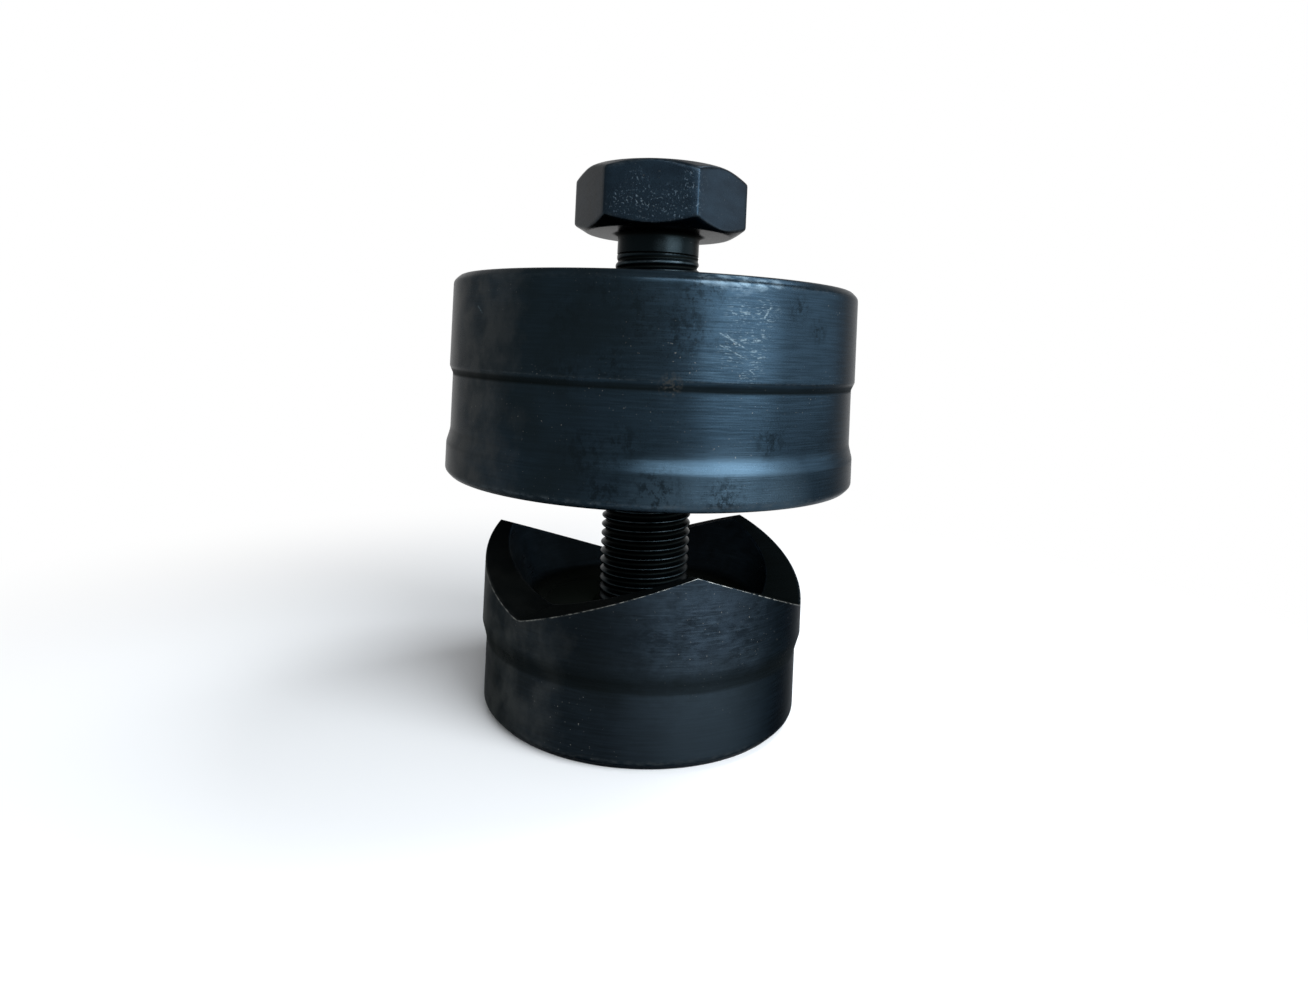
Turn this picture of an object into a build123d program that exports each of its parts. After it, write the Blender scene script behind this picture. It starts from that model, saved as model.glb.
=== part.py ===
from build123d import *
from math import cos, radians, sin, tan
import os

# Sizes in millimetres. The part stands on the punch's flat base at z = 0, with the bolt axis on Z.
# Headings round the axis are measured from the front (-Y) towards +X.

# Thread and its clearances
thread_crest_radius = 4.95
thread_running_gap = 0.05
clearance_hole_gap = 0.55
bore_chamfer = 0.6

# Punch
hole_radius = 17.5
base_band_radius = 17.0
base_band_top = 7.3
cutting_band_bottom = 9.1
base_edge_bevel = 0.9
tip_height = 18.0
valley_height = 12.0
valley_rise = 10.0
valley_radius = 2.0
lobe_count = 3
first_tip_heading = 17.0
cup_floor = 10.4
cup_floor_radius = 11.9
cup_flare = 29.0
cup_corner_bevel = 0.8

# Die
die_bottom = 24.8
die_height = 21.0
die_base_thickness = 6.0
die_band_radius = 22.2
die_waist_radius = 21.85
lower_band_height = 3.4
lower_band_slope = 1.3
upper_band_start = 11.4
upper_band_slope = 0.8
die_top_bevel = 0.7
die_bottom_bevel = 0.6
cutting_gap = 0.1
cutting_land = 6.0
cavity_relief = 0.3
cavity_corner_bevel = 0.8

# Draw bolt
bolt_length = 50.0
head_bottom = 51.6
head_height = 7.0
head_across_flats = 17.0
head_corner_radius = 0.4
head_face_radius = 8.15
head_chamfer = 30.0
first_corner_heading = 23.7
shank_radius = 4.6
shank_length = 2.6
runout_length = 2.6
neck_radius = 0.5
bolt_tip_chamfer = 0.9

# Values that follow from the ones above
bolt_tip = head_bottom - bolt_length
punch_bore_radius = thread_crest_radius + thread_running_gap
die_bore_radius = thread_crest_radius + clearance_hole_gap
cavity_radius = hole_radius + cutting_gap
die_top = die_bottom + die_height
die_floor = die_top - die_base_thickness
cup_mouth_radius = cup_floor_radius + (tip_height - cup_floor) * tan(radians(cup_flare))
lobe_angle = 360 / lobe_count
valley_slope = tan(radians(valley_rise))
half_gap = radians(lobe_angle / 2)
flank_slope = (
    tip_height - valley_height - valley_slope * hole_radius * (1 - cos(half_gap))
) / (hole_radius * sin(half_gap))


def heading_vector(heading, height=0.0):
    """The unit direction at a heading round the axis, with a rise added to it."""
    return Vector(sin(radians(heading)), -cos(radians(heading)), height)


# Punch: a turned cup whose wall flares open towards the rim
with BuildPart() as punch:
    with BuildSketch(Plane.XZ) as punch_section:
        with BuildLine():
            Polyline(
                (punch_bore_radius + bore_chamfer, 0),
                (base_band_radius, 0),
                (base_band_radius, base_band_top),
                (hole_radius, cutting_band_bottom),
                (hole_radius, tip_height),
                (cup_mouth_radius, tip_height),
                (cup_floor_radius, cup_floor),
                (punch_bore_radius + bore_chamfer, cup_floor),
                (punch_bore_radius, cup_floor - bore_chamfer),
                (punch_bore_radius, bore_chamfer),
                close=True,
            )
        make_face()
        base_corner = punch_section.vertices().group_by(Axis.Y)[0].sort_by(Axis.X)[-1]
        chamfer(base_corner, base_edge_bevel)
        floor_corner = punch_section.vertices().filter_by_position(
            Axis.Y, cup_floor - 0.01, cup_floor + 0.01
        ).sort_by(Axis.X)[-1]
        chamfer(floor_corner, cup_corner_bevel)
    revolve(axis=Axis.Z)

    # Three wide V-shaped gaps leave three points on the rim. Each gap's floor line rises inwards.
    for lobe in range(lobe_count):
        valley_heading = first_tip_heading + lobe_angle * (lobe + 0.5)
        outward = heading_vector(valley_heading)
        gap_plane = Plane(
            origin=outward * hole_radius + Vector(0, 0, valley_height),
            x_dir=Vector(0, 0, 1).cross(outward),
            z_dir=outward,
        )
        gap_width = 1.3 * hole_radius
        with BuildSketch(gap_plane) as gap_section:
            with BuildLine():
                Polyline(
                    (0, 0),
                    (gap_width, gap_width * flank_slope),
                    (gap_width, hole_radius),
                    (-gap_width, hole_radius),
                    (-gap_width, gap_width * flank_slope),
                    close=True,
                )
            make_face()
            fillet(gap_section.vertices().sort_by(Axis.Y)[0], valley_radius)
        inward = heading_vector(valley_heading + 180, valley_slope)
        extrude(amount=hole_radius * inward.length, dir=inward, both=True, mode=Mode.SUBTRACT)

# Die: a turned cup, open downwards, with two thicker bands round a narrower waist
with BuildPart() as die:
    with BuildSketch(Plane.XZ) as die_section:
        with BuildLine():
            Polyline(
                (cavity_radius, die_bottom),
                (die_band_radius, die_bottom),
                (die_band_radius, die_bottom + lower_band_height),
                (die_waist_radius, die_bottom + lower_band_height + lower_band_slope),
                (die_waist_radius, die_bottom + upper_band_start - upper_band_slope),
                (die_band_radius, die_bottom + upper_band_start),
                (die_band_radius, die_top),
                (die_bore_radius + bore_chamfer, die_top),
                (die_bore_radius, die_top - bore_chamfer),
                (die_bore_radius, die_floor + bore_chamfer),
                (die_bore_radius + bore_chamfer, die_floor),
                (cavity_radius + cavity_relief, die_floor),
                (cavity_radius + cavity_relief, die_bottom + cutting_land + cavity_relief),
                (cavity_radius, die_bottom + cutting_land),
                close=True,
            )
        make_face()
        outer_corners = die_section.vertices().group_by(Axis.X)[-1].sort_by(Axis.Y)
        chamfer(outer_corners[-1], die_top_bevel)
        bottom_corner = die_section.vertices().group_by(Axis.Y)[0].sort_by(Axis.X)[-1]
        chamfer(bottom_corner, die_bottom_bevel)
        cavity_corner = die_section.vertices().filter_by_position(
            Axis.Y, die_floor - 0.01, die_floor + 0.01
        ).sort_by(Axis.X)[-1]
        chamfer(cavity_corner, cavity_corner_bevel)
    revolve(axis=Axis.Z)

# Draw bolt: a hexagon head chamfered on both sides, a short plain shank and a threaded rod,
# drawn here at its crest size
head_top = head_bottom + head_height
corner_reach = head_across_flats / 2 / cos(radians(30)) - head_face_radius + 0.1
chamfer_drop = corner_reach * tan(radians(head_chamfer))
head_outer_radius = head_face_radius + corner_reach
shank_end = head_bottom - shank_length
thread_top = shank_end - runout_length
with BuildPart() as draw_bolt:
    with BuildSketch(Plane.XY.offset(head_bottom)):
        RegularPolygon(
            radius=head_across_flats / 2,
            side_count=6,
            major_radius=False,
            rotation=first_corner_heading - 90,
        )
    extrude(amount=head_height)
    fillet(draw_bolt.edges().filter_by(Axis.Z), head_corner_radius)
    with BuildSketch(Plane.XZ):
        with BuildLine():
            Polyline(
                (0, head_bottom),
                (head_face_radius, head_bottom),
                (head_outer_radius, head_bottom + chamfer_drop),
                (head_outer_radius, head_top - chamfer_drop),
                (head_face_radius, head_top),
                (0, head_top),
                close=True,
            )
        make_face()
    revolve(axis=Axis.Z, mode=Mode.INTERSECT)
    with BuildSketch(Plane.XZ) as rod_section:
        with BuildLine():
            Polyline(
                (0, bolt_tip),
                (thread_crest_radius - bolt_tip_chamfer, bolt_tip),
                (thread_crest_radius, bolt_tip + bolt_tip_chamfer),
                (thread_crest_radius, thread_top),
                (shank_radius, shank_end),
                (shank_radius, head_bottom - neck_radius),
                (shank_radius + neck_radius, head_bottom),
                (shank_radius + neck_radius, head_bottom + 1),
                (0, head_bottom + 1),
                close=True,
            )
        make_face()
    revolve(axis=Axis.Z)

punch.part.label = "punch"
die.part.label = "die"
draw_bolt.part.label = "draw_bolt"

os.makedirs("parts", exist_ok=True)
export_step(punch.part, "parts/punch.step")
export_step(die.part, "parts/die.step")
export_step(draw_bolt.part, "parts/draw_bolt.step")
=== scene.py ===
from math import atan, ceil, cos, floor, radians, sin, sqrt, tan

import bmesh
import bpy
from mathutils import Matrix, Vector


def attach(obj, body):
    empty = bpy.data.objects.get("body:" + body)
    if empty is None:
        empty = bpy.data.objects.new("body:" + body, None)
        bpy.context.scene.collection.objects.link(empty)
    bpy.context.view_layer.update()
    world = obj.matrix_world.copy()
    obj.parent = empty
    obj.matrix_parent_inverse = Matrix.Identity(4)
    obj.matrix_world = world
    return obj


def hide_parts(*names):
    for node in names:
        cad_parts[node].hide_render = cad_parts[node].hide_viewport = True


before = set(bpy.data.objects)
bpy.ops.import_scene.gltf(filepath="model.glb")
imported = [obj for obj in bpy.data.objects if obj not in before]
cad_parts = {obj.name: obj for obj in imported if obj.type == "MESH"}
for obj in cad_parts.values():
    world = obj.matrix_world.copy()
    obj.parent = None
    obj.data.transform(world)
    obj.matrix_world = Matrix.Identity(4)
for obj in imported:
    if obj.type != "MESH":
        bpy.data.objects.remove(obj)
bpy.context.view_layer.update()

# Sizes are in millimetres until a vertex is made. The bolt axis is Z, and headings round it are
# measured in degrees from the front (-Y) towards +X.
millimetre = 0.001

# Thread
pitch = 1.0
crest_radius = 4.95
root_radius = 4.47
running_gap = 0.05
thread_phase = 0.27
# Turns drawn past each end of a thread before it is cut to its height
spare_turns = 3
# One turn of the thread: share of the pitch above a crest, share of the full depth, and wear and
# shade, which is above 0 on the crest, rubbed and with a painted highlight, and below 0 in the
# root, darkened by dirt and painted shade
thread_form = [
    (0.0, 0.0, 0.5),
    (0.07, 0.04, 0.2),
    (0.14, 0.18, 0.0),
    (0.24, 0.5, 0.0),
    (0.34, 0.84, -0.2),
    (0.42, 0.97, -0.8),
    (0.50, 1.0, -1.0),
    (0.58, 0.97, -0.8),
    (0.66, 0.84, -0.2),
    (0.76, 0.5, 0.0),
    (0.86, 0.18, 0.0),
    (0.93, 0.04, 0.2),
]

# Punch
hole_radius = 17.5
base_band_radius = 17.0
base_band_top = 7.3
cutting_band_bottom = 9.1
base_edge_bevel = 0.9
tip_height = 18.0
valley_height = 12.0
valley_slope = tan(radians(10.0))
valley_radius = 2.0
lobe_count = 3
lobe_angle = 120.0
first_tip_heading = 17.0
cup_floor = 10.4
cup_floor_radius = 11.9
cup_flare = radians(29.0)
cup_corner_bevel = 0.8
bore_mouth_radius = 5.6

# Die
die_bottom = 24.8
die_top = 45.8
die_floor = 39.8
band_radius = 22.2
waist_radius = 21.85
lower_band_height = 3.4
lower_band_slope = 1.3
upper_band_start = 11.4
upper_band_slope = 0.8
die_top_bevel = 0.7
die_bottom_bevel = 0.6
cavity_radius = 17.6
relief_radius = 17.9
cutting_land = 6.0
cavity_corner_bevel = 0.8
clearance_radius = 5.5
clearance_bevel = 0.6

# Draw bolt
bolt_tip = 1.6
tip_bevel = 0.9
head_bottom = 51.6
head_top = 58.6
half_across_flats = 8.5
# Half the angle that one of the hexagon's faces takes up round the axis
half_face_angle = 30
head_corner_radius = 0.4
head_face_radius = 8.15
head_chamfer = tan(radians(30.0))
first_corner_heading = 23.7
shank_radius = 4.6
neck_radius = 0.5
full_thread_top = 46.4
shank_end = 49.0
groove_end = 49.15
groove_fade = 0.5
seam_middle = 49.25
seam_top = 49.35
seam_depth = 0.08
runout_rounding = 0.12

# Values that follow from the ones above
half_gap = radians(lobe_angle / 2)
gap_flank = (
    tip_height - valley_height - valley_slope * hole_radius * (1 - cos(half_gap))
) / (hole_radius * sin(half_gap))
gap_lean = atan(gap_flank)
cup_corner = (
    cup_floor_radius + cup_corner_bevel * sin(cup_flare),
    cup_floor + cup_corner_bevel * cos(cup_flare),
)
corner_centre = (half_across_flats - head_corner_radius) / cos(radians(half_face_angle))
corner_end = atan(
    head_corner_radius * sin(radians(half_face_angle))
    / (corner_centre + head_corner_radius * cos(radians(half_face_angle)))
)

# Heading where the punch's rim and the die's top edge are brightest: towards it their edge wear
# grows, as real rubbing and as painted highlight
rim_highlight_heading = 50.0

# Columns of vertices: evenly round the punch and the die, and on each face of the bolt's head
# closer together at its rounded corners
steps_round = 240
step_headings = [360 / steps_round * step for step in range(steps_round)]
face_steps = [0, 0.5, 1.18] + [4.5 + 3.4 * step for step in range(16)] + [58.82, 59.5]

# Distances from a corner at which a long face gets one more ring, so that it shades evenly
mouth_ring = 0.3
slope_ring = 0.3
cutting_ring = 0.5
cup_ring = 0.4
waist_ring = 0.25

# A rounded corner's points: share of the way along its curve, and share of the corner's wear and
# shade value
corner_curve = ((0.0, 0.3), (0.33, 1.0), (0.67, 1.0), (1.0, 0.3))
# The longest that a corner's rounding and its guard point reach, as shares of an edge
longest_rounding = 0.4
longest_guard = 0.48

# Vertices nearer together than the first become one, and edges shorter than the second go
merge_distance = 0.004
shortest_edge = 0.0005


# Mesh building

def place(heading, radius, height):
    """The point at a heading, radius and height round the bolt axis, in metres."""
    turn = radians(heading)
    return Vector((radius * sin(turn), -radius * cos(turn), height)) * millimetre


def between(first, second, share):
    """The point (radius, height) that lies a share of the way from the first to the second."""
    return [start + (end - start) * share for start, end in zip(first, second)]


def soften(corners, guard=0.25):
    """Rounds each corner (radius, height, rounding, wear and shade) of a section with a short
    curve, and adds a point with none on each side of it. Returns points (radius, height, wear and
    shade), where a value below 0 is dirt and painted shade."""
    points = []
    for number, (radius, height, rounding, wear_and_shade) in enumerate(corners):
        here = Vector((radius, height))
        if rounding == 0:
            points.append((radius, height, wear_and_shade))
            continue
        before = Vector(corners[number - 1][:2]) - here
        after = Vector(corners[(number + 1) % len(corners)][:2]) - here
        shorter = min(before.length, after.length)
        cut = min(rounding, longest_rounding * before.length, longest_rounding * after.length)
        clear = min(cut + guard, longest_guard * shorter)
        start = here + before.normalized() * cut
        end = here + after.normalized() * cut
        points.append((*(here + before.normalized() * clear), 0.0))
        for share, amount in corner_curve:
            curve = start * (1 - share) ** 2 + here * 2 * share * (1 - share) + end * share**2
            points.append((*curve, wear_and_shade * amount))
        points.append((*(here + after.normalized() * clear), 0.0))
    return points


def join_columns(mesh, here, after, closed=False):
    """Fills the strip of faces between two columns of vertices."""
    count = min(len(here), len(after))
    steps = [(row, row + 1) for row in range(count - 1)]
    if closed:
        steps.append((count - 1, 0))
    for low, high in steps:
        mesh.faces.new((here[low], after[low], after[high], here[high]))


def sweep(mesh, wear_and_shade_layer, headings, section_at, closed=False):
    """Adds a turned surface with one section per heading."""
    columns = []
    for heading in headings:
        column = []
        for radius, height, wear_and_shade in section_at(heading):
            vertex = mesh.verts.new(place(heading, radius, height))
            vertex[wear_and_shade_layer] = wear_and_shade
            column.append(vertex)
        columns.append(column)
    for here, after in zip(columns, columns[1:] + columns[:1]):
        join_columns(mesh, here, after, closed)


def sweep_thread(mesh, wear_and_shade_layer, headings, low, high, radius_at):
    """Adds a thread between two heights. Its rows of vertices climb round the axis with it."""
    turns = range(floor(low / pitch) - spare_turns, ceil(high / pitch) + spare_turns)
    rows = [(turn + share, depth, wear_and_shade) for turn in turns for share, depth, wear_and_shade in thread_form]
    columns = []
    for heading in headings:
        column = []
        for turn, depth, wear_and_shade in rows:
            height = min(max(pitch * (turn + thread_phase + heading / 360), low), high)
            vertex = mesh.verts.new(place(heading, radius_at(height, depth), height))
            vertex[wear_and_shade_layer] = wear_and_shade
            column.append(vertex)
        columns.append(column)
    for here, after in zip(columns, columns[1:]):
        join_columns(mesh, here, after)
    join_columns(mesh, columns[-1], columns[0][len(thread_form):])


def new_mesh():
    """An empty mesh with a layer that says how worn each vertex is, and, below 0, how much dirt
    and painted shade darken it.
    """
    mesh = bmesh.new()
    return mesh, mesh.verts.layers.float.new("wear_and_shade")


def new_object(mesh, name, material):
    """Turns the finished mesh into an object of the scene."""
    data = bpy.data.meshes.new(name)
    mesh.to_mesh(data)
    mesh.free()
    data.materials.append(material)
    thing = bpy.data.objects.new(name, data)
    bpy.context.scene.collection.objects.link(thing)
    return thing


def finish_piece(mesh, name, body, material):
    """Turns the finished mesh into the piece that stands for the solid of the same name."""
    bmesh.ops.remove_doubles(mesh, verts=mesh.verts, dist=merge_distance * millimetre)
    bmesh.ops.dissolve_degenerate(mesh, edges=mesh.edges, dist=shortest_edge * millimetre)
    loose = [vertex for vertex in mesh.verts if not vertex.link_faces]
    bmesh.ops.delete(mesh, geom=loose, context="VERTS")
    bmesh.ops.recalc_face_normals(mesh, faces=mesh.faces)
    for face in mesh.faces:
        face.smooth = True
    piece = new_object(mesh, name + "_detailed", material)
    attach(piece, body)
    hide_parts(name)


# Punch

def gap_height(heading, radius):
    """Height of the wide V-shaped gap's surface at a heading and radius."""
    from_valley = (heading - first_tip_heading) % lobe_angle - lobe_angle / 2
    across = abs(radius * sin(radians(from_valley)))
    outward = radius * cos(radians(from_valley))
    if across < valley_radius * sin(gap_lean):
        rise = valley_radius / cos(gap_lean) - sqrt(valley_radius**2 - across**2)
    else:
        rise = gap_flank * across
    return valley_height + rise + valley_slope * (hole_radius - outward)


def inner_edge(heading):
    """Radius and height where the gap's surface meets the flared wall of the cup, found by
    repeated approach."""
    height = valley_height
    for _ in range(12):
        radius = cup_floor_radius + (height - cup_floor) * tan(cup_flare)
        height = gap_height(heading, radius)
    return radius, height


def punch_section(heading):
    """The punch's section from the mouth of its base hole up to the rim and down to the cup's
    floor, as corners (radius, height, rounding, wear and shade). It is above 0 on a bright,
    rubbed edge, which on the rim also carries a painted highlight, and below 0 where dirt and
    painted shade darken it."""
    rim = (hole_radius, gap_height(heading, hole_radius))
    inner = inner_edge(heading)
    slope = between((base_band_radius, base_band_top), (hole_radius, cutting_band_bottom), 0.5)
    # The rim's wear grows towards one heading: rubbed steel with a painted highlight.
    rim_wear_and_highlight = 0.55 + 0.45 * cos(radians(heading - rim_highlight_heading))
    floor_edge = cup_floor_radius - cup_corner_bevel
    return soften([
        (bore_mouth_radius, 0, 0, 0),
        (bore_mouth_radius + mouth_ring, 0, 0, 0),
        (base_band_radius - base_edge_bevel, 0, 0.2, 0.1),
        (base_band_radius, base_edge_bevel, 0.3, 0.05),
        (base_band_radius, base_band_top - slope_ring, 0, 0),
        # The slope between the bands faces down; its negative wear is painted shade.
        (base_band_radius, base_band_top, 0, -0.45),
        (*slope, 0, -0.55),
        (hole_radius, cutting_band_bottom, 0, -0.25),
        (hole_radius, cutting_band_bottom + cutting_ring, 0, 0),
        (*rim, 0.06, rim_wear_and_highlight),
        # Inside the cup, negative wear darkens the walls and floor with painted shade and some
        # dirt.
        (*between(rim, inner, 0.08), 0, -0.85),
        (*between(rim, inner, 0.94), 0, -0.85),
        (*inner, 0.1, 0),
        (*between(inner, cup_corner, 0.06), 0, -0.4),
        (*between(inner, cup_corner, 0.85), 0, -0.45),
        (*cup_corner, 0, -1.0),
        (floor_edge, cup_floor, 0, -1.0),
        (floor_edge - cup_ring, cup_floor, 0, -1.0),
        (bore_mouth_radius + mouth_ring, cup_floor, 0, -1.0),
        (bore_mouth_radius, cup_floor, 0, -1.0),
    ], guard=0.15)


def nut_thread_radius(height, depth):
    """Radius of the thread in the punch, with a bevelled mouth at both ends."""
    wall = crest_radius + running_gap - (crest_radius - root_radius) * depth
    mouth = max(bore_mouth_radius - height, bore_mouth_radius - (cup_floor - height))
    return max(wall, mouth)


def make_punch(material):
    mesh, wear_and_shade_layer = new_mesh()
    headings = [first_tip_heading + step for step in step_headings]
    sweep(mesh, wear_and_shade_layer, headings, punch_section)
    sweep_thread(mesh, wear_and_shade_layer, headings, 0, cup_floor, nut_thread_radius)
    finish_piece(mesh, "punch", "punch", material)


# Die

def die_section(heading):
    """The die's whole section, once round, as corners (radius, height, rounding, wear and shade).
    """
    relief_start = die_bottom + cutting_land
    slope_top = die_bottom + lower_band_height + lower_band_slope
    ledge_bottom = die_bottom + upper_band_start - upper_band_slope
    ledge_middle = ((waist_radius + band_radius) / 2, ledge_bottom + upper_band_slope / 2)
    # The top edge's wear grows towards one heading: rubbed steel with a painted highlight.
    top_wear_and_highlight = 0.1 + 0.22 * max(cos(2 * radians(heading - rim_highlight_heading)), 0)
    return soften([
        (cavity_radius, die_bottom, 0.1, 0.6),
        (band_radius - die_bottom_bevel, die_bottom, 0.25, 0.2),
        (band_radius, die_bottom + die_bottom_bevel, 0.25, 0.5),
        # Negative wear paints shade on the band's top and the slope's foot, and on the ledge
        # under the upper band.
        (band_radius, die_bottom + lower_band_height, 0.2, -0.1),
        (waist_radius, slope_top, 0.3, -0.1),
        (waist_radius, ledge_bottom - waist_ring, 0, 0),
        (waist_radius, ledge_bottom, 0, -0.8),
        (*ledge_middle, 0, -0.6),
        (band_radius, die_bottom + upper_band_start, 0.08, 0.3),
        (band_radius, die_top - die_top_bevel, 0.3, top_wear_and_highlight),
        (band_radius - die_top_bevel, die_top, 0.3, top_wear_and_highlight / 2),
        (clearance_radius + clearance_bevel, die_top, 0.1, 0.3),
        (clearance_radius, die_top - clearance_bevel, 0.1, 0.3),
        (clearance_radius, die_floor + clearance_bevel, 0.1, 0),
        (clearance_radius + clearance_bevel, die_floor, 0.1, 0),
        (relief_radius - cavity_corner_bevel, die_floor, 0.2, -1.0),
        (relief_radius, die_floor - cavity_corner_bevel, 0.2, -1.0),
        (relief_radius, relief_start + relief_radius - cavity_radius, 0.1, -0.5),
        (cavity_radius, relief_start, 0.1, 0.2),
    ])


def make_die(material):
    mesh, wear_and_shade_layer = new_mesh()
    sweep(mesh, wear_and_shade_layer, step_headings, die_section, closed=True)
    finish_piece(mesh, "die", "die", material)


# Draw bolt

def head_radius(heading):
    """Distance from the axis to the hexagon's side, with its six corners slightly rounded."""
    past_corner = (heading - first_corner_heading + half_face_angle) % (2 * half_face_angle)
    turn = radians(abs(past_corner - half_face_angle))
    if turn < corner_end:
        rounding = sqrt(head_corner_radius**2 - (corner_centre * sin(turn)) ** 2)
        return corner_centre * cos(turn) + rounding
    return half_across_flats / cos(radians(half_face_angle) - turn)


def head_section(heading):
    """Section of the head and shank, from the crown down to where the thread starts."""
    side = head_radius(heading)
    drop = (side - head_face_radius) * head_chamfer
    return soften([
        (0, head_top, 0, 0),
        (head_face_radius, head_top, 0.2, 0.3),
        (side, head_top - drop, 0.3, 0.4),
        (side, head_bottom + drop, 0.3, 0.3),
        (head_face_radius, head_bottom, 0.2, 0.1),
        # Negative wear paints the shade under the head on the neck and in the seam.
        (shank_radius, head_bottom, neck_radius, -1.0),
        (shank_radius, seam_top, 0.02, 0.2),
        (shank_radius - seam_depth, seam_middle, 0.02, -1.0),
        (shank_radius, groove_end, 0, -0.2),
    ])


def rod_radius(height, depth):
    """Radius of the rod. The thread fades out into the plain shank, and the tip is bevelled."""
    crest_share = min(max((shank_end - height) / (shank_end - full_thread_top), 0), 1)
    groove_share = min(max((groove_end - height) / groove_fade, 0), 1)
    surface = shank_radius + (crest_radius - shank_radius) * crest_share
    surface -= runout_rounding * depth * groove_share
    lift = (shank_radius - root_radius) * (1 - groove_share)
    groove = crest_radius - (crest_radius - root_radius) * depth + lift
    tip = crest_radius - tip_bevel + height - bolt_tip
    return min(surface, groove, tip)


def tip_section(heading):
    """The flat end of the bolt, from its bevel to the axis."""
    return [(crest_radius - tip_bevel, bolt_tip, 0), (0, bolt_tip, 0)]


def make_draw_bolt(material):
    mesh, wear_and_shade_layer = new_mesh()
    headings = [
        first_corner_heading + 2 * half_face_angle * face + step
        for face in range(6) for step in face_steps
    ]
    sweep(mesh, wear_and_shade_layer, headings, head_section)
    sweep_thread(mesh, wear_and_shade_layer, headings, bolt_tip, groove_end, rod_radius)
    sweep(mesh, wear_and_shade_layer, headings, tip_section)
    finish_piece(mesh, "draw_bolt", "draw_bolt", material)


# Materials

# A spot is full within this share of its reach, and a scratch within this share of its width
spot_core = 0.3
scratch_core = 0.2


class Finish:
    """A procedural material in the making. Sizes of its patterns are in millimetres."""

    def __init__(self, name):
        self.material = bpy.data.materials.new(name)
        self.material.use_nodes = True
        self.nodes = self.material.node_tree.nodes
        self.links = self.material.node_tree.links
        self.shader = self.nodes["Principled BSDF"]
        self.position = self.nodes.new("ShaderNodeTexCoord").outputs["Object"]

    def feed(self, socket, value):
        """Links a node's output to the socket, or writes a plain value into it."""
        if isinstance(value, bpy.types.NodeSocket):
            self.links.new(value, socket)
        elif isinstance(value, tuple) and len(value) == 3 and len(socket.default_value) == 4:
            socket.default_value = (*value, 1)
        else:
            socket.default_value = value

    def math(self, operation, first, second=0.0, clamp=False):
        node = self.nodes.new("ShaderNodeMath")
        node.operation = operation
        node.use_clamp = clamp
        self.feed(node.inputs[0], first)
        self.feed(node.inputs[1], second)
        return node.outputs[0]

    def times(self, first, second):
        return self.math("MULTIPLY", first, second)

    def mix(self, share, first, second):
        """Goes from the first colour at share 0 to the second at share 1."""
        node = self.nodes.new("ShaderNodeMix")
        node.data_type = "RGBA"
        self.feed(node.inputs["Factor"], share)
        self.feed(node.inputs[6], first)
        self.feed(node.inputs[7], second)
        return node.outputs[2]

    def span(self, value, low, high, start=0.0, end=1.0):
        """Maps the values between low and high onto start to end."""
        node = self.nodes.new("ShaderNodeMapRange")
        self.feed(node.inputs["Value"], value)
        node.inputs["From Min"].default_value = low
        node.inputs["From Max"].default_value = high
        node.inputs["To Min"].default_value = start
        node.inputs["To Max"].default_value = end
        return node.outputs["Result"]

    def cloud(self, size, detail=3.0, roughness=0.5, shift=(0, 0, 0)):
        """Noise from about 0.3 to 0.7, whose features are size = (x, y, z) millimetres large."""
        mapping = self.nodes.new("ShaderNodeMapping")
        mapping.vector_type = "TEXTURE"
        self.feed(mapping.inputs["Vector"], self.position)
        mapping.inputs["Location"].default_value = [part * millimetre for part in shift]
        mapping.inputs["Scale"].default_value = [part * millimetre for part in size]
        texture = self.nodes.new("ShaderNodeTexNoise")
        self.feed(texture.inputs["Vector"], mapping.outputs["Vector"])
        texture.inputs["Scale"].default_value = 1.0
        texture.inputs["Detail"].default_value = detail
        texture.inputs["Roughness"].default_value = roughness
        return texture.outputs["Fac"]

    def vector(self, operation, first, second):
        """Vector arithmetic. Gives a number for a dot product or a distance, else a vector."""
        node = self.nodes.new("ShaderNodeVectorMath")
        node.operation = operation
        self.feed(node.inputs[0], first)
        if operation == "SCALE":
            self.feed(node.inputs["Scale"], second)
        else:
            self.feed(node.inputs[1], second)
        is_number = operation in ("DOT_PRODUCT", "DISTANCE")
        return node.outputs["Value" if is_number else "Vector"]

    def near(self, heading, radius, height, reach):
        """1 near a point on the surface, falling to 0 at reach millimetres from it."""
        distance = self.vector("DISTANCE", self.position, place(heading, radius, height))
        core = spot_core * reach
        return self.span(distance, core * millimetre, reach * millimetre, 1.0, 0.0)

    def near_any(self, spots, radius):
        """1 near any of the spots (heading, height, reach)."""
        share = 0.0
        for heading, height, reach in spots:
            share = self.math("MAXIMUM", share, self.near(heading, radius, height, reach))
        return share

    def scratch(self, radius, start, end, width):
        """1 on a straight scratch between two points (heading, height), 0 beside it."""
        first = place(start[0], radius, start[1])
        run = place(end[0], radius, end[1]) - first
        offset = self.vector("SUBTRACT", self.position, first)
        share = self.math("DIVIDE", self.vector("DOT_PRODUCT", offset, run),
                          run.length_squared, clamp=True)
        apart = self.vector("DISTANCE", offset, self.vector("SCALE", run, share))
        core = scratch_core * width
        return self.span(apart, core * millimetre, width * millimetre, 1.0, 0.0)

    def along(self, axis):
        """The object's own X, Y or Z in metres."""
        node = self.nodes.new("ShaderNodeSeparateXYZ")
        self.feed(node.inputs[0], self.position)
        return node.outputs[axis]

    def below(self, low, high, share=1.0):
        """The share below the height low, falling to 0 at the height high."""
        return self.span(self.along("Z"), low * millimetre, high * millimetre, share, 0.0)

    def wear_and_shade(self):
        """The wear that the mesh's vertices carry; below 0 it is dirt and painted shade."""
        node = self.nodes.new("ShaderNodeAttribute")
        node.attribute_name = "wear_and_shade"
        return node.outputs["Fac"]

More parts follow.
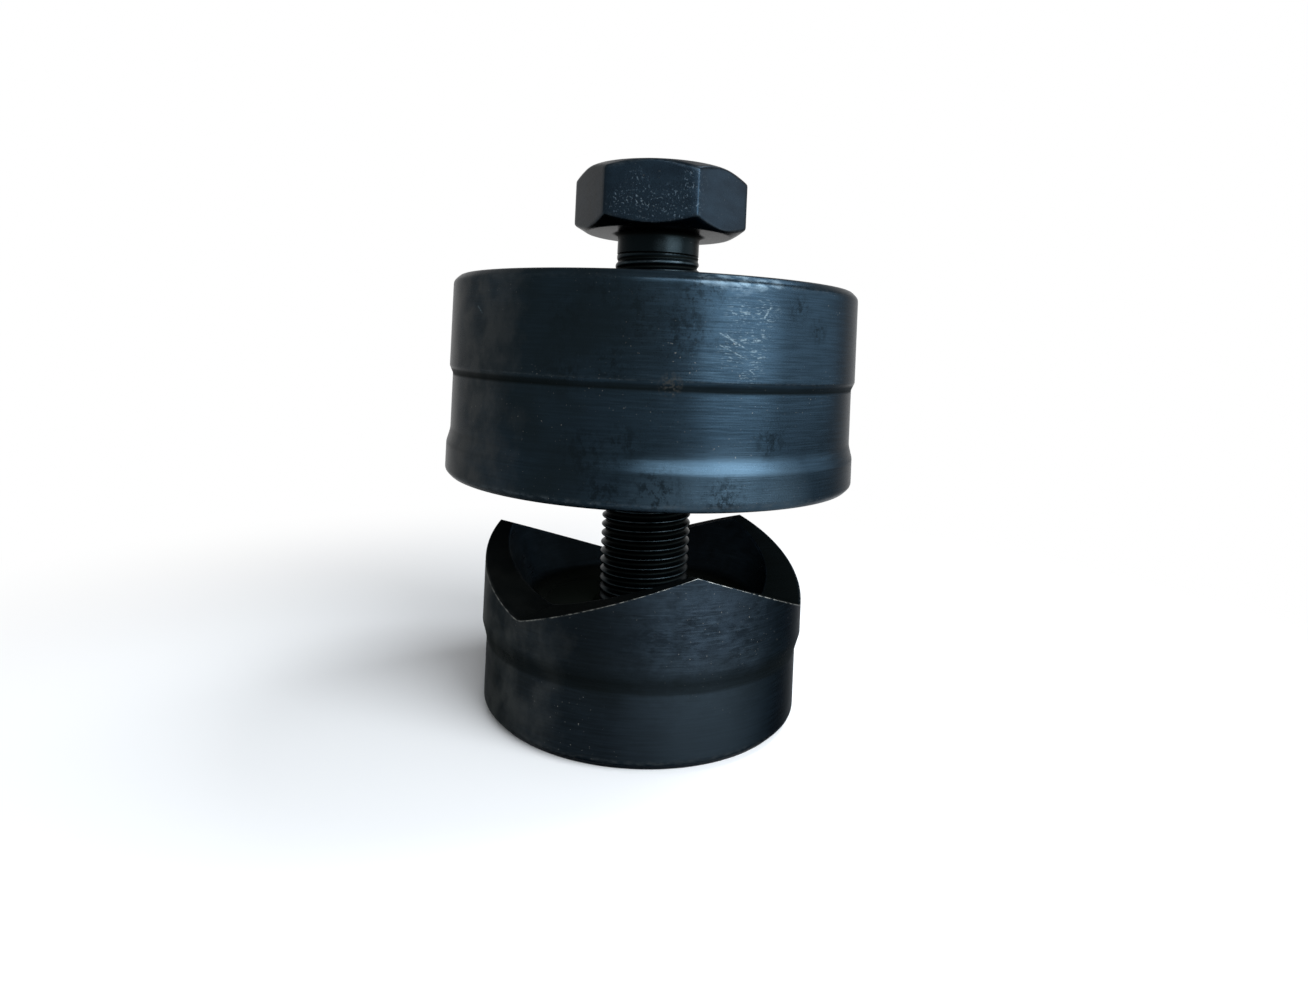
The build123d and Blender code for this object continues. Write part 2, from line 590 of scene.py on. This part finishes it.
    def bump(self, height, depth):
        """Raises the surface by depth millimetres where height is 1."""
        node = self.nodes.new("ShaderNodeBump")
        self.feed(node.inputs["Height"], height)
        node.inputs["Distance"].default_value = depth * millimetre
        node.inputs["Strength"].default_value = 1.0
        self.links.new(node.outputs["Normal"], self.shader.inputs["Normal"])


# Finish of every piece

# Colours are linear red, green and blue
dust_colour = (0.16, 0.16, 0.15)
# Dark colour of dirt and painted shade in recesses, thread roots and faces turned away from the
# lamps
dirt_and_shade_colour = (0.0025, 0.0033, 0.0029)
# How much duller dirt and painted shade are than clean steel, and how much the steel's own gloss
# varies
dirt_and_shade_roughness = 0.35
roughness_spread = 0.05

# A pale painted reflection, a sheen on the far left side of the die and the punch
left_sheen_pattern = {"size": (3.0, 3.0, 3.5), "share": 0.95, "least": 0.45, "behind": 0.1}
# How far the edge of a tint on the left side wanders to each side, and the Y values between which
# it thins behind
left_tint_wander = 1.5
left_tint_front = -7
left_tint_back = 4


def blackened_steel(finish, dark, light, line_size, line_share, spread):
    """Mixes the oxide's colour from turning lines and cloudy tone. Returns colour and lines."""
    fine = finish.cloud((4.0, 4.0, line_size), detail=2.0)
    broad = finish.cloud((10.0, 10.0, 4 * line_size), detail=4.0, shift=(3, 1, 2))
    tone = finish.cloud((5.0, 5.0, 7.0), detail=5.0, roughness=0.6, shift=(5, 2, 8))
    crisp = finish.span(fine, 0.36, 0.66)
    lines = finish.math("ADD", finish.times(crisp, 0.7), finish.times(broad, 0.3))
    mixed = finish.math("ADD", finish.times(lines, line_share),
                        finish.times(tone, 1 - line_share))
    return finish.mix(finish.span(mixed, 0.5 - spread, 0.5 + spread), dark, light), crisp


def brushed_highlight(finish, colour, bright, zone, share):
    """Brightens the real turning lines inside a zone, painting the highlight that falls there."""
    brightened = finish.cloud((3.0, 3.0, 0.13), detail=2.0, shift=(4, 4, 2))
    patchy = finish.cloud((2.5, 2.5, 3.5), detail=3.0, shift=(6, 6, 1))
    lit = finish.times(finish.span(brightened, 0.5, 0.68), finish.span(patchy, 0.35, 0.6, 0.3, 1.0))
    return finish.mix(finish.times(finish.times(lit, zone), share), colour, bright)


def stained(finish, colour, shade, zone, size, share):
    """Darkens the colour inside a zone, in soft ragged stains broken by dark dashes."""
    ragged = finish.cloud(size, detail=9.0, roughness=0.75, shift=(1, 6, 4))
    dashes = finish.cloud((1.6, 1.6, 0.18), detail=3.0, roughness=0.6, shift=(6, 2, 3))
    elsewhere = finish.cloud((13.0, 13.0, 9.0), detail=2.0, shift=(7, 3, 1))
    zone = finish.math("MAXIMUM", zone, finish.span(elsewhere, 0.6, 0.75, 0.0, 0.8))
    blot = finish.times(finish.span(ragged, 0.48, 0.57), zone)
    dash = finish.times(finish.span(dashes, 0.52, 0.66), zone)
    stain = finish.math("ADD", finish.times(blot, 0.9), finish.times(dash, 0.3), clamp=True)
    return finish.mix(finish.times(stain, share), colour, shade)


def film_shade_and_sheen(finish, colour, left_tint, start, end, size, share, least=0.5, behind=1.0):
    """Lays a blotchy tint over the left side: painted shade on the die, a pale painted reflection
    on the far left of the die and the punch, and a dull film of dried oil on the head's left
    face. It fades from the X start to the X end. Between its blotches it is as thin as least, and
    on the back it thins to behind."""
    blotches = finish.cloud(size, detail=6.0, roughness=0.6, shift=(2, 2, 9))
    ragged = finish.span(blotches, 0.3, 0.7, left_tint_wander * millimetre, -left_tint_wander * millimetre)
    across = finish.math("ADD", finish.along("X"), ragged)
    edge = finish.span(across, start * millimetre, end * millimetre, share, 0.0)
    front = finish.span(finish.along("Y"), left_tint_front * millimetre, left_tint_back * millimetre,
                        1.0, behind)
    patchy = finish.times(front, finish.span(blotches, 0.38, 0.6, least, 1.0))
    return finish.mix(finish.times(edge, patchy), colour, left_tint)


def wear_dirt_and_shade(finish, colour, worn, edge_share, dust_share):
    """Adds rubbed edges, on some rims and crests also a painted highlight, a few pale specks of
    dust, and dirt with painted shade in the inner corners, recesses and thread roots.
    """
    chips = finish.cloud((0.7, 0.7, 0.4), detail=6.0, roughness=0.65, shift=(2, 7, 3))
    wear_and_shade = finish.wear_and_shade()
    edge = finish.math("MULTIPLY", wear_and_shade, finish.span(chips, 0.42, 0.6), clamp=True)
    colour = finish.mix(finish.times(edge, edge_share), colour, worn)
    specks = finish.cloud((0.2, 0.2, 0.2), detail=1.0, shift=(9, 4, 1))
    zone = finish.cloud((9.0, 9.0, 7.0), detail=1.0, shift=(4, 4, 7))
    dust = finish.times(finish.span(specks, 0.75, 0.78, 0.0, dust_share),
                        finish.span(zone, 0.45, 0.6))
    colour = finish.mix(dust, colour, dust_colour)
    dirt_and_shade = finish.math("MULTIPLY", wear_and_shade, -1.0, clamp=True)
    return finish.mix(dirt_and_shade, colour, dirt_and_shade_colour)


def complete(finish, colour, lines, roughness, edge_tint, relief_depth):
    """Writes colour, roughness and relief to the shader. Dirt and painted shade are duller than
    clean steel.
    """
    grain = finish.cloud((0.1, 0.1, 0.1), detail=2.0)
    finish.feed(finish.shader.inputs["Base Color"], colour)
    finish.shader.inputs["Metallic"].default_value = 1.0
    finish.shader.inputs["Specular Tint"].default_value = (edge_tint, edge_tint, edge_tint, 1)
    dull = finish.math("MULTIPLY", finish.wear_and_shade(), -dirt_and_shade_roughness, clamp=True)
    rough = finish.span(grain, 0.3, 0.7, roughness - roughness_spread,
                        roughness + roughness_spread)
    finish.feed(finish.shader.inputs["Roughness"], finish.math("ADD", rough, dull))
    relief = finish.math("ADD", finish.times(lines, 0.7), finish.times(grain, 0.3))
    finish.bump(relief, relief_depth)
    return finish.material


# Finish of the die

die_dark = (0.0078, 0.0146, 0.0214)
die_light = (0.0112, 0.021, 0.0312)
# Painted highlight over the die's turning lines
die_brushed_highlight = (0.02, 0.0355, 0.05)
# Painted highlight on the die's lowest band
die_lower_highlight = (0.025, 0.043, 0.06)
die_stain = (0.003, 0.0052, 0.007)
# Painted shade on the die's left side, away from the lamps
die_left_shade = (0.006, 0.0097, 0.0118)
# Pale painted reflection on the die's far left
die_left_sheen = (0.04, 0.043, 0.044)
die_scratch = (0.045, 0.062, 0.072)
die_edge = (0.05, 0.062, 0.07)
# The rubbed top edge, with its painted highlight
die_polish_and_highlight = (0.04, 0.058, 0.072)
die_residue = (0.035, 0.036, 0.034)

# Scratches run from one (heading, height) to another, with a width
die_scratches = [
    ((15.1, 40.55), (21.1, 39.4), 0.09),
    ((15.3, 39.5), (21.8, 38.4), 0.08),
    ((16.6, 40.5), (18.9, 39.7), 0.07),
    ((18.0, 42.35), (19.0, 42.25), 0.1),
    ((19.7, 42.5), (22.3, 42.35), 0.1),
    ((26.2, 42.1), (27.8, 43.0), 0.12),
    ((20.4, 40.0), (21.5, 40.1), 0.14),
    ((23.6, 40.0), (25.2, 40.05), 0.14),
    ((25.4, 41.0), (26.3, 41.0), 0.06),
    ((25.3, 40.6), (26.2, 40.6), 0.06),
    ((24.9, 38.5), (26.6, 38.65), 0.12),
    ((22.9, 37.4), (24.0, 37.1), 0.08),
    ((-49, 42.2), (-47, 41.6), 0.12),
]
# The other marks are spots (heading, height, reach)
fleck_spots = [
    (20, 42.4, 1.8), (26.8, 42.5, 1.9), (21, 40.0, 1.5), (24.6, 40.2, 1.8), (18.5, 39.2, 2.0),
    (24.5, 38.5, 1.9), (22.5, 37.2, 1.6),
]
die_stain_spots = [
    (10, 44.0, 3.4), (7, 40.8, 3.6), (-3, 42.0, 3.4), (37, 43.0, 1.8), (44, 41.2, 1.6),
    (2, 26.6, 3.2), (18, 26.2, 2.6), (-10, 26.2, 3.0), (-20, 41.2, 2.8), (-12, 44.0, 2.2),
    (-15, 29.6, 3.2), (-6, 30.6, 2.4), (-21, 37.0, 3.4), (-9, 37.6, 2.6), (30, 31.2, 2.4),
]
# Painted highlight over the turning lines on the upper band and the lower slope, painted
# highlight on the lowest band, and the rubbed top edge with its painted highlight
die_highlight_spots = [(13, 38.0, 12.5), (-2, 28.8, 8.0)]
die_lower_highlight_spots = [(8, 25.2, 6.0), (20, 25.2, 6.5), (32, 25.2, 5.0)]
die_rim_highlight_spots = [
    (11, 45.5, 1.2), (15, 45.5, 1.4), (20, 45.4, 1.7), (25, 45.4, 1.4), (29, 45.5, 1.1),
]


def scratched(finish, colour):
    """Draws the scratches and flecks, broken up so that none is an even line."""
    marks = 0.0
    for start, end, width in die_scratches:
        marks = finish.math("MAXIMUM", marks, finish.scratch(band_radius, start, end, width))
    broken = finish.cloud((0.2, 0.2, 0.12), detail=3.0, shift=(8, 2, 5))
    marks = finish.times(marks, finish.span(broken, 0.4, 0.56, 0.1, 1.0))
    grains = finish.cloud((0.5, 0.5, 0.11), detail=2.0, shift=(2, 5, 6))
    flecks = finish.times(finish.near_any(fleck_spots, band_radius),
                          finish.span(grains, 0.58, 0.68, 0.0, 0.8))
    return finish.mix(finish.math("MAXIMUM", marks, flecks), colour, die_scratch)


def polished_and_highlit(finish, colour):
    """Brightens the top edge where it is rubbed bare, and paints in the highlight that it catches
    there.
    """
    chips = finish.cloud((1.3, 1.3, 0.5), detail=5.0, roughness=0.65, shift=(3, 1, 6))
    bare_and_lit = finish.times(finish.near_any(die_rim_highlight_spots, band_radius),
                        finish.span(chips, 0.42, 0.56))
    return finish.mix(bare_and_lit, colour, die_polish_and_highlight)


def with_residue(finish, colour):
    """Leaves a few crumbs of dry grease under the upper band, near the front."""
    crumbs = finish.cloud((0.3, 0.3, 0.3), detail=4.0, shift=(2, 9, 5))
    spot = finish.near(heading=4.5, radius=waist_radius + 0.1, height=35.9, reach=1.3)
    residue = finish.times(spot, finish.span(crumbs, 0.45, 0.6, 0.0, 0.7))
    return finish.mix(residue, colour, die_residue)


def die_finish():
    finish = Finish("die_blackened")
    colour, lines = blackened_steel(
        finish, die_dark, die_light, line_size=0.17, line_share=0.45, spread=0.17
    )
    # Painted highlight on the upper band and the lower slope, over brightened turning lines
    brightened = finish.near_any(die_highlight_spots, band_radius)
    colour = brushed_highlight(finish, colour, die_brushed_highlight, brightened, share=0.6)
    # Painted highlight on the lowest band
    colour = finish.mix(finish.near_any(die_lower_highlight_spots, band_radius), colour, die_lower_highlight)
    stains = finish.near_any(die_stain_spots, band_radius)
    colour = stained(finish, colour, die_stain, stains, size=(0.65, 0.65, 0.8), share=0.75)
    # Painted shade over the die's left side
    colour = film_shade_and_sheen(finish, colour, die_left_shade, start=-6, end=5, size=(9.0, 9.0, 8.0), share=0.85)
    # Pale painted reflection along the die's far left
    colour = film_shade_and_sheen(finish, colour, die_left_sheen, start=-20.5, end=-11.5, **left_sheen_pattern)
    colour = scratched(finish, colour)
    colour = wear_dirt_and_shade(finish, colour, die_edge, edge_share=0.7, dust_share=0.6)
    # Rubbed top edge with its painted highlight
    colour = polished_and_highlit(finish, colour)
    colour = with_residue(finish, colour)
    return complete(finish, colour, lines, roughness=0.31, edge_tint=0.52, relief_depth=0.004)


# Finish of the punch

punch_dark = (0.0058, 0.0084, 0.0106)
punch_light = (0.0086, 0.0128, 0.0168)
# Rubbed oxide and brightened lines under the points, which also paint the punch's highlight
punch_rubbed_highlight = (0.018, 0.0275, 0.038)
punch_brushed_highlight = (0.03, 0.044, 0.058)
# Painted highlight on the right of the punch's lowest band
punch_low_highlight = (0.0175, 0.0255, 0.0325)
punch_stain = (0.004, 0.006, 0.008)
punch_shadow = (0.003, 0.0042, 0.005)
# Pale painted reflection on the punch's far left
punch_left_sheen = (0.058, 0.0615, 0.0595)
punch_edge = (0.3, 0.31, 0.29)
punch_floor_dust = (0.018, 0.0215, 0.0185)

# Spots (heading, height, reach): rubbed under the three points, bright enough to also paint the
# punch's highlight, and stained on the front
punch_tip_spots = [
    (first_tip_heading + lobe_angle * lobe, 13.5, 10.0) for lobe in range(lobe_count)
]
punch_stain_spots = [(16, 13.0, 4.5), (33, 11.5, 4.5), (4, 12.0, 4.0), (40, 14.0, 3.0)]


def rubbed_highlit_tips(finish, colour):
    """Thins the oxide in patches under the three points, and brightens its turning lines, which
    also paints the punch's highlight there.
    """
    bare_and_lit = finish.cloud((1.6, 1.6, 1.2), detail=7.0, roughness=0.65, shift=(3, 8, 2))
    tips = finish.near_any(punch_tip_spots, hole_radius)
    brightened = finish.times(tips, finish.span(bare_and_lit, 0.36, 0.6, 0.25, 0.85))
    colour = finish.mix(brightened, colour, punch_rubbed_highlight)
    return brushed_highlight(finish, colour, punch_brushed_highlight, tips, share=0.6)


def dusty_floor(finish, colour):
    """Lays a little brown dust on the floor of the cup."""
    middle = finish.near(heading=0, radius=0, height=cup_floor, reach=18.0)
    dust = finish.times(middle, finish.below(cup_floor + 0.2, cup_floor + 0.9))
    return finish.mix(dust, colour, punch_floor_dust)


def punch_finish():
    finish = Finish("punch_blackened")
    colour, lines = blackened_steel(
        finish, punch_dark, punch_light, line_size=0.17, line_share=0.4, spread=0.17
    )
    colour = rubbed_highlit_tips(finish, colour)
    # Painted highlight on the right front of the lowest band
    low_highlight = finish.near(heading=22, radius=base_band_radius, height=3.5, reach=9.0)
    colour = finish.mix(finish.times(low_highlight, 0.6), colour, punch_low_highlight)
    stains = finish.near_any(punch_stain_spots, hole_radius)
    colour = stained(finish, colour, punch_stain, stains, size=(1.5, 1.5, 0.5), share=0.6)
    shadow = finish.near(heading=-14, radius=hole_radius, height=12.0, reach=7.0)
    colour = finish.mix(finish.times(shadow, 0.55), colour, punch_shadow)
    # Pale painted reflection along the punch's far left
    colour = film_shade_and_sheen(finish, colour, punch_left_sheen, start=-18.5, end=-6.5, **left_sheen_pattern)
    colour = wear_dirt_and_shade(finish, colour, punch_edge, edge_share=0.95, dust_share=0.7)
    colour = dusty_floor(finish, colour)
    return complete(finish, colour, lines, roughness=0.44, edge_tint=0.4, relief_depth=0.004)


# Finish of the draw bolt

bolt_dark = (0.0058, 0.01, 0.0148)
bolt_light = (0.0088, 0.0158, 0.0232)
bolt_oiled = (0.0068, 0.0108, 0.0126)
# Painted shade that the head casts on the shank
bolt_shank_shade = (0.0024, 0.0038, 0.0044)
bolt_film = (0.0062, 0.007, 0.0066)
bolt_glint = (0.008, 0.0115, 0.0132)
# Dents, and along one corner also a painted highlight
bolt_dent_and_highlight = (0.054, 0.072, 0.086)
bolt_edge = (0.06, 0.075, 0.085)

# Where the head is dented by spanners, on its front face and along one corner, where the dents
# are also a painted highlight: heading, height, reach
highlit_corner = first_corner_heading - 1
dent_and_corner_highlight_spots = [
    (-26, 53.9, 2.0), (-14, 54.2, 2.4), (-3, 53.7, 2.4), (9, 53.9, 2.4), (-15, 56.3, 1.5),
    (highlit_corner, 56.2, 1.7), (highlit_corner, 54.8, 1.6), (highlit_corner, 53.6, 1.3),
]
# How much deeper a dent is than the turning lines
dent_depth = 3.0


def oiled_rod(finish, colour):
    """Colours what lies below the head, which is oily, and paints the head's shade on the plain
    shank.
    """
    oiled = finish.below(head_bottom - 0.3, head_bottom + 0.1, share=0.9)
    colour = finish.mix(oiled, colour, bolt_oiled)
    # Painted shade under the head, on the shank above the thread
    above_thread = finish.span(finish.along("Z"), (shank_end - 0.1) * millimetre,
                               (shank_end + 0.3) * millimetre)
    return finish.mix(finish.times(oiled, above_thread), colour, bolt_shank_shade)


def bolt_finish():
    finish = Finish("bolt_blackened")
    colour, lines = blackened_steel(
        finish, bolt_dark, bolt_light, line_size=1.2, line_share=0.3, spread=0.2
    )
    colour = oiled_rod(finish, colour)
    colour = film_shade_and_sheen(finish, colour, bolt_film, start=-6.8, end=-5.0, size=(1.6, 1.6, 3.0),
                    share=0.6)
    glint = finish.near(heading=15, radius=shank_radius, height=50.3, reach=1.9)
    colour = finish.mix(finish.times(glint, 0.7), colour, bolt_glint)
    # Dents, which along one corner also paint the corner's highlight
    dents = finish.cloud((0.25, 0.25, 0.25), detail=3.0, roughness=0.6, shift=(3, 3, 3))
    dented_and_highlit = finish.times(finish.span(dents, 0.58, 0.68),
                          finish.near_any(dent_and_corner_highlight_spots, half_across_flats + 0.4))
    colour = finish.mix(dented_and_highlit, colour, bolt_dent_and_highlight)
    colour = wear_dirt_and_shade(finish, colour, bolt_edge, edge_share=0.6, dust_share=0.3)
    relief = finish.math("SUBTRACT", lines, finish.times(dented_and_highlit, dent_depth))
    return complete(finish, colour, relief, roughness=0.3, edge_tint=0.6, relief_depth=0.01)


# Studio

# Lengths of the studio are in metres
floor_radius = 6.0
floor_tone = 0.86
# Distances from the origin between which the floor fades into the white background
fade_start = 0.03
fade_end = 0.11
# Strength of the white surroundings, for what they light and for what sees them
sky_light = 0.2
sky_seen = 1.0

lamp_target = Vector((0, 0, 0.03))
lamp_distance = 0.36
lamp_colour = (0.9, 0.95, 1.0)
# Name, azimuth, elevation, width, height and power
lamps = [
    ("window_high", 34, 30, 0.50, 0.15, 2.2),
    ("window_low", 46, 10.5, 0.29, 0.18, 1.35),
    ("side", 95, 9, 0.26, 0.16, 0.4),
    ("ceiling", 116, 60, 0.12, 0.16, 0.65),
]

# The photograph's view: a near, almost level camera, rolled a little. Sizes are in the picture's
# pixels and turns in radians.
image_width, image_height = 1308, 981
focal_pixels = 806.9
axis_x, axis_y = 659.3, 334.0
base_x, base_y = 638.2, 694.2
pixels_per_millimetre = 8.902
pitch_turn = -0.014
roll_turn = 0.0448


def seen_directly(nodes, links):
    """1 for rays from the camera and for rays that gloss and glass send out."""
    path = nodes.new("ShaderNodeLightPath")
    result = path.outputs["Is Camera Ray"]
    for name in ("Is Glossy Ray", "Is Transmission Ray"):
        either = nodes.new("ShaderNodeMath")
        either.operation = "MAXIMUM"
        links.new(result, either.inputs[0])
        links.new(path.outputs[name], either.inputs[1])
        result = either.outputs[0]
    return result


def floor_material():
    """A pale, matt floor that turns into glowing white away from the object."""
    material = bpy.data.materials.new("pale_floor")
    material.use_nodes = True
    nodes, links = material.node_tree.nodes, material.node_tree.links
    shader = nodes["Principled BSDF"]
    shader.inputs["Base Color"].default_value = (floor_tone, floor_tone, floor_tone, 1)
    shader.inputs["Roughness"].default_value = 0.9
    glow = nodes.new("ShaderNodeEmission")
    coordinates = nodes.new("ShaderNodeTexCoord")
    length = nodes.new("ShaderNodeVectorMath")
    length.operation = "LENGTH"
    links.new(coordinates.outputs["Object"], length.inputs[0])
    fade = nodes.new("ShaderNodeMapRange")
    fade.interpolation_type = "SMOOTHSTEP"
    links.new(length.outputs["Value"], fade.inputs["Value"])
    fade.inputs["From Min"].default_value = fade_start
    fade.inputs["From Max"].default_value = fade_end
    share = nodes.new("ShaderNodeMath")
    share.operation = "MULTIPLY"
    links.new(fade.outputs["Result"], share.inputs[0])
    links.new(seen_directly(nodes, links), share.inputs[1])
    mix = nodes.new("ShaderNodeMixShader")
    links.new(share.outputs[0], mix.inputs["Fac"])
    links.new(shader.outputs[0], mix.inputs[1])
    links.new(glow.outputs[0], mix.inputs[2])
    links.new(mix.outputs[0], nodes["Material Output"].inputs["Surface"])
    return material


def make_floor():
    """A wide round floor that keeps the object's shadow."""
    mesh = bmesh.new()
    bmesh.ops.create_circle(mesh, cap_ends=True, segments=96, radius=floor_radius)
    floor_piece = new_object(mesh, "floor", floor_material())


def make_world():
    """Even white surroundings, weaker as a light than as a background."""
    world = bpy.data.worlds.new("studio")
    bpy.context.scene.world = world
    world.use_nodes = True
    nodes, links = world.node_tree.nodes, world.node_tree.links
    background = nodes["Background"]
    background.inputs["Color"].default_value = (1, 1, 1, 1)
    strength = nodes.new("ShaderNodeMapRange")
    links.new(seen_directly(nodes, links), strength.inputs["Value"])
    strength.inputs["To Min"].default_value = sky_light
    strength.inputs["To Max"].default_value = sky_seen
    links.new(strength.outputs["Result"], background.inputs["Strength"])


def add_lamp(name, azimuth, elevation, width, height, power):
    """A soft rectangular lamp aimed at the middle of the object."""
    lamp = bpy.data.lights.new(name, "AREA")
    lamp.shape = "RECTANGLE"
    lamp.size = width
    lamp.size_y = height
    lamp.energy = power
    lamp.color = lamp_colour
    holder = bpy.data.objects.new(name, lamp)
    bpy.context.scene.collection.objects.link(holder)
    level = cos(radians(elevation))
    towards = Vector((
        sin(radians(azimuth)) * level, -cos(radians(azimuth)) * level, sin(radians(elevation))
    ))
    holder.location = lamp_target + towards * lamp_distance
    holder.visible_camera = False
    holder.rotation_euler = towards.to_track_quat("Z", "Y").to_euler()


def make_camera():
    camera = bpy.data.cameras.new("camera")
    camera.sensor_width = 36.0
    camera.lens = focal_pixels / image_width * camera.sensor_width
    camera.shift_x = (image_width / 2 - axis_x) / image_width
    camera.shift_y = (axis_y - image_height / 2) / image_width
    camera.clip_start = 0.005
    camera.clip_end = 50.0
    holder = bpy.data.objects.new("camera", camera)
    bpy.context.scene.collection.objects.link(holder)
    offset = Vector((
        (base_x - axis_x) / pixels_per_millimetre,
        -(base_y - axis_y) / pixels_per_millimetre,
        -focal_pixels / pixels_per_millimetre,
    ))
    turn = Matrix.Rotation(radians(90) - pitch_turn, 3, "X") @ Matrix.Rotation(roll_turn, 3, "Z")
    holder.matrix_world = Matrix.Translation(-(turn @ offset) * millimetre) @ turn.to_4x4()
    bpy.context.scene.camera = holder


make_camera()
make_world()
for lamp in lamps:
    add_lamp(*lamp)
make_floor()
make_draw_bolt(bolt_finish())
make_die(die_finish())
make_punch(punch_finish())
bpy.context.scene.view_settings.view_transform = "Standard"
